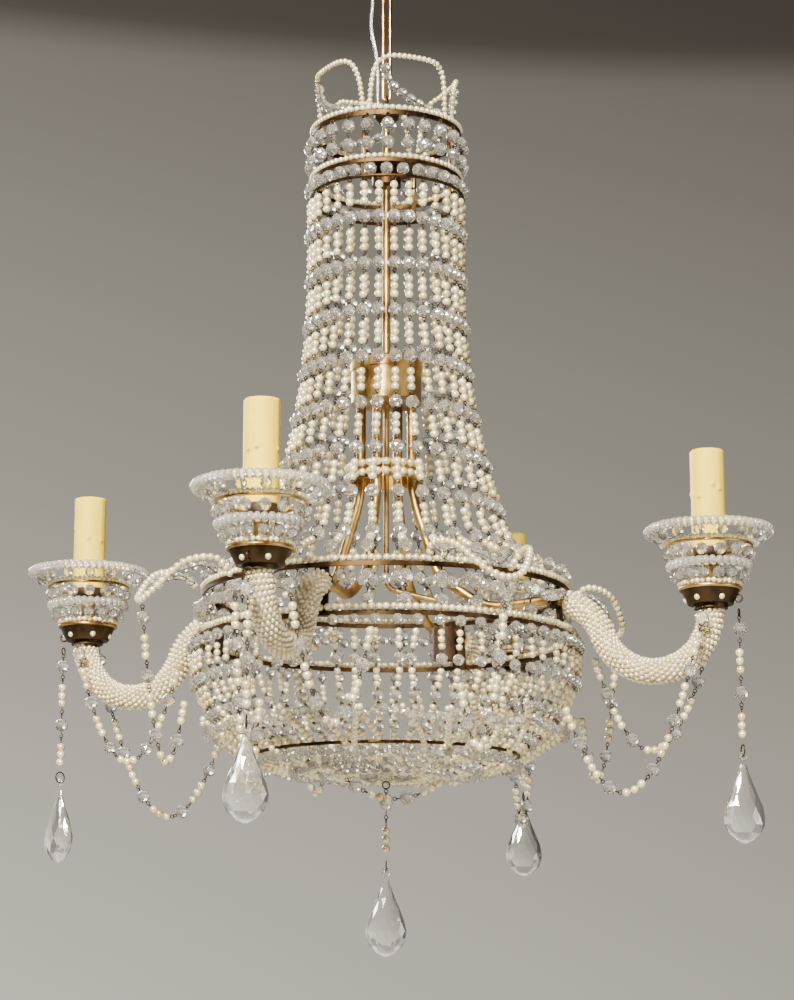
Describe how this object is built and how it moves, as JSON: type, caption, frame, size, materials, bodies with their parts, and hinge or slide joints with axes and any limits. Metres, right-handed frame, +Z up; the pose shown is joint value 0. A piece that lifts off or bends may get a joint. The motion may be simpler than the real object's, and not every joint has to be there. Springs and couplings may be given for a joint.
{
  "type": "beaded basket chandelier",
  "caption": "Hanging chandelier with a tent and basket of wired pearls and clear beads, bead-wound scroll arms, candle sleeves and crystal pendants.",
  "frame": {"origin": "on the ceiling, in the middle of the mounting strap's top face", "axes": "+Z up along the chandelier's axis, -Y towards the front"},
  "size_m": [0.5482, 0.5403, 0.7758],
  "materials": {
    "steel": "zinc plated",
    "brass": "aged antique brass",
    "dark_bronze": "dark patina",
    "clear_cord": "clear",
    "pearl": "pearl lustre",
    "seed_bead": "pearl lustre",
    "crystal": "clear, cut",
    "dark_plastic": "brown phenolic",
    "candle": "wax-like"
  },
  "bodies": {
    "ceiling": {"mounting_strap": "steel", "canopy": "brass", "canopy_loop": "brass"},
    "link": {"hanging_link": "brass", "supply_cord": "clear_cord"},
    "sleeve_front": {"candle_sleeve_front": "candle"},
    "sleeve_right": {"candle_sleeve_right": "candle"},
    "sleeve_back": {"candle_sleeve_back": "candle"},
    "sleeve_left": {"candle_sleeve_left": "candle"},
    "pendant_front": {"pendant_strand_front": "pearl"},
    "drop_front": {"crystal_drop_front": "crystal"},
    "pendant_right": {"pendant_strand_right": "pearl"},
    "drop_right": {"crystal_drop_right": "crystal"},
    "pendant_back": {"pendant_strand_back": "pearl"},
    "drop_back": {"crystal_drop_back": "crystal"},
    "pendant_left": {"pendant_strand_left": "pearl"},
    "drop_left": {"crystal_drop_left": "crystal"},
    "pendant_centre": {"pendant_strand_centre": "pearl"},
    "drop_centre": {"crystal_drop_centre": "crystal"},
    "chandelier": {"stem_loop": "dark_bronze", "stem_cap": "dark_bronze", "stem_rod": "brass", "top_spider": "brass", "crown_frame": "brass", "crown_loops": "pearl", "crown_pearls": "pearl", "crown_crystals": "crystal", "hub_can": "brass", "hub_cap": "brass", "feed_tubes": "brass", "tube_collar": "brass", "collar_pearls": "pearl", "upper_ring": "brass", "lower_ring": "brass", "ring_brackets": "dark_bronze", "ring_pearls": "pearl", "ring_crystals": "crystal", "petal_loops": "pearl", "tent_strands": "pearl", "basket_strands": "pearl", "basket_hoop": "dark_bronze", "basket_plate": "brass", "basket_cluster": "crystal", "lamp_rod": "brass", "basket_lampholder": "dark_plastic", "drip_pans": "brass", "cup_cages": "dark_bronze", "cup_pearls": "pearl", "cup_crystals": "crystal", "lampholders": "dark_plastic", "garlands": "pearl", "arm_tube_front": "brass", "arm_winding_front": "seed_bead", "arm_tube_right": "brass", "arm_winding_right": "seed_bead", "arm_tube_back": "brass", "arm_winding_back": "seed_bead", "arm_tube_left": "brass", "arm_winding_left": "seed_bead"}
  },
  "joints": [
    {"name": "link_swing", "type": "hinge", "parent": "ceiling", "child": "link", "pos_m": [0, 0, -0.0395], "axis": [0, 1, 0], "range_deg": [-10, 10]},
    {"name": "chandelier_swing", "type": "hinge", "parent": "link", "child": "chandelier", "pos_m": [0, 0, -0.1307], "axis": [1, 0, 0], "range_deg": [-10, 10]},
    {"name": "sleeve_lift_front", "type": "slide", "parent": "chandelier", "child": "sleeve_front", "axis": [0, 0, 1], "range_m": [0, 0.075]},
    {"name": "sleeve_lift_right", "type": "slide", "parent": "chandelier", "child": "sleeve_right", "axis": [0, 0, 1], "range_m": [0, 0.075]},
    {"name": "sleeve_lift_back", "type": "slide", "parent": "chandelier", "child": "sleeve_back", "axis": [0, 0, 1], "range_m": [0, 0.075]},
    {"name": "sleeve_lift_left", "type": "slide", "parent": "chandelier", "child": "sleeve_left", "axis": [0, 0, 1], "range_m": [0, 0.075]},
    {"name": "pendant_swing_front", "type": "hinge", "parent": "chandelier", "child": "pendant_front", "pos_m": [-0.08829, -0.24657, -0.5351], "axis": [-0.3371, -0.9415, 0], "range_deg": [-25, 25]},
    {"name": "drop_swing_front", "type": "hinge", "parent": "pendant_front", "child": "drop_front", "pos_m": [-0.08829, -0.24657, -0.652], "axis": [0, -1, 0], "range_deg": [-30, 30]},
    {"name": "pendant_swing_right", "type": "hinge", "parent": "chandelier", "child": "pendant_right", "pos_m": [0.24579, -0.09043, -0.5351], "axis": [0.9385, -0.3453, 0], "range_deg": [-25, 25]},
    {"name": "drop_swing_right", "type": "hinge", "parent": "pendant_right", "child": "drop_right", "pos_m": [0.24579, -0.09043, -0.652], "axis": [0.1736, -0.9848, 0], "range_deg": [-30, 30]},
    {"name": "pendant_swing_back", "type": "hinge", "parent": "chandelier", "child": "pendant_back", "pos_m": [0.11192, 0.23678, -0.5351], "axis": [0.4274, 0.9041, 0], "range_deg": [-25, 25]},
    {"name": "drop_swing_back", "type": "hinge", "parent": "pendant_back", "child": "drop_back", "pos_m": [0.11192, 0.23678, -0.652], "axis": [0.0872, -0.9962, 0], "range_deg": [-30, 30]},
    {"name": "pendant_swing_left", "type": "hinge", "parent": "chandelier", "child": "pendant_left", "pos_m": [-0.24642, 0.08872, -0.5351], "axis": [-0.9409, 0.3387, 0], "range_deg": [-25, 25]},
    {"name": "drop_swing_left", "type": "hinge", "parent": "pendant_left", "child": "drop_left", "pos_m": [-0.24642, 0.08872, -0.652], "axis": [-0.7071, -0.7071, 0], "range_deg": [-30, 30]},
    {"name": "pendant_swing_centre", "type": "hinge", "parent": "chandelier", "child": "pendant_centre", "pos_m": [0, 0, -0.6462], "axis": [0, -1, 0], "range_deg": [-25, 25]},
    {"name": "drop_swing_centre", "type": "hinge", "parent": "pendant_centre", "child": "drop_centre", "pos_m": [0, 0, -0.725], "axis": [0, -1, 0], "range_deg": [-30, 30]}
  ]
}
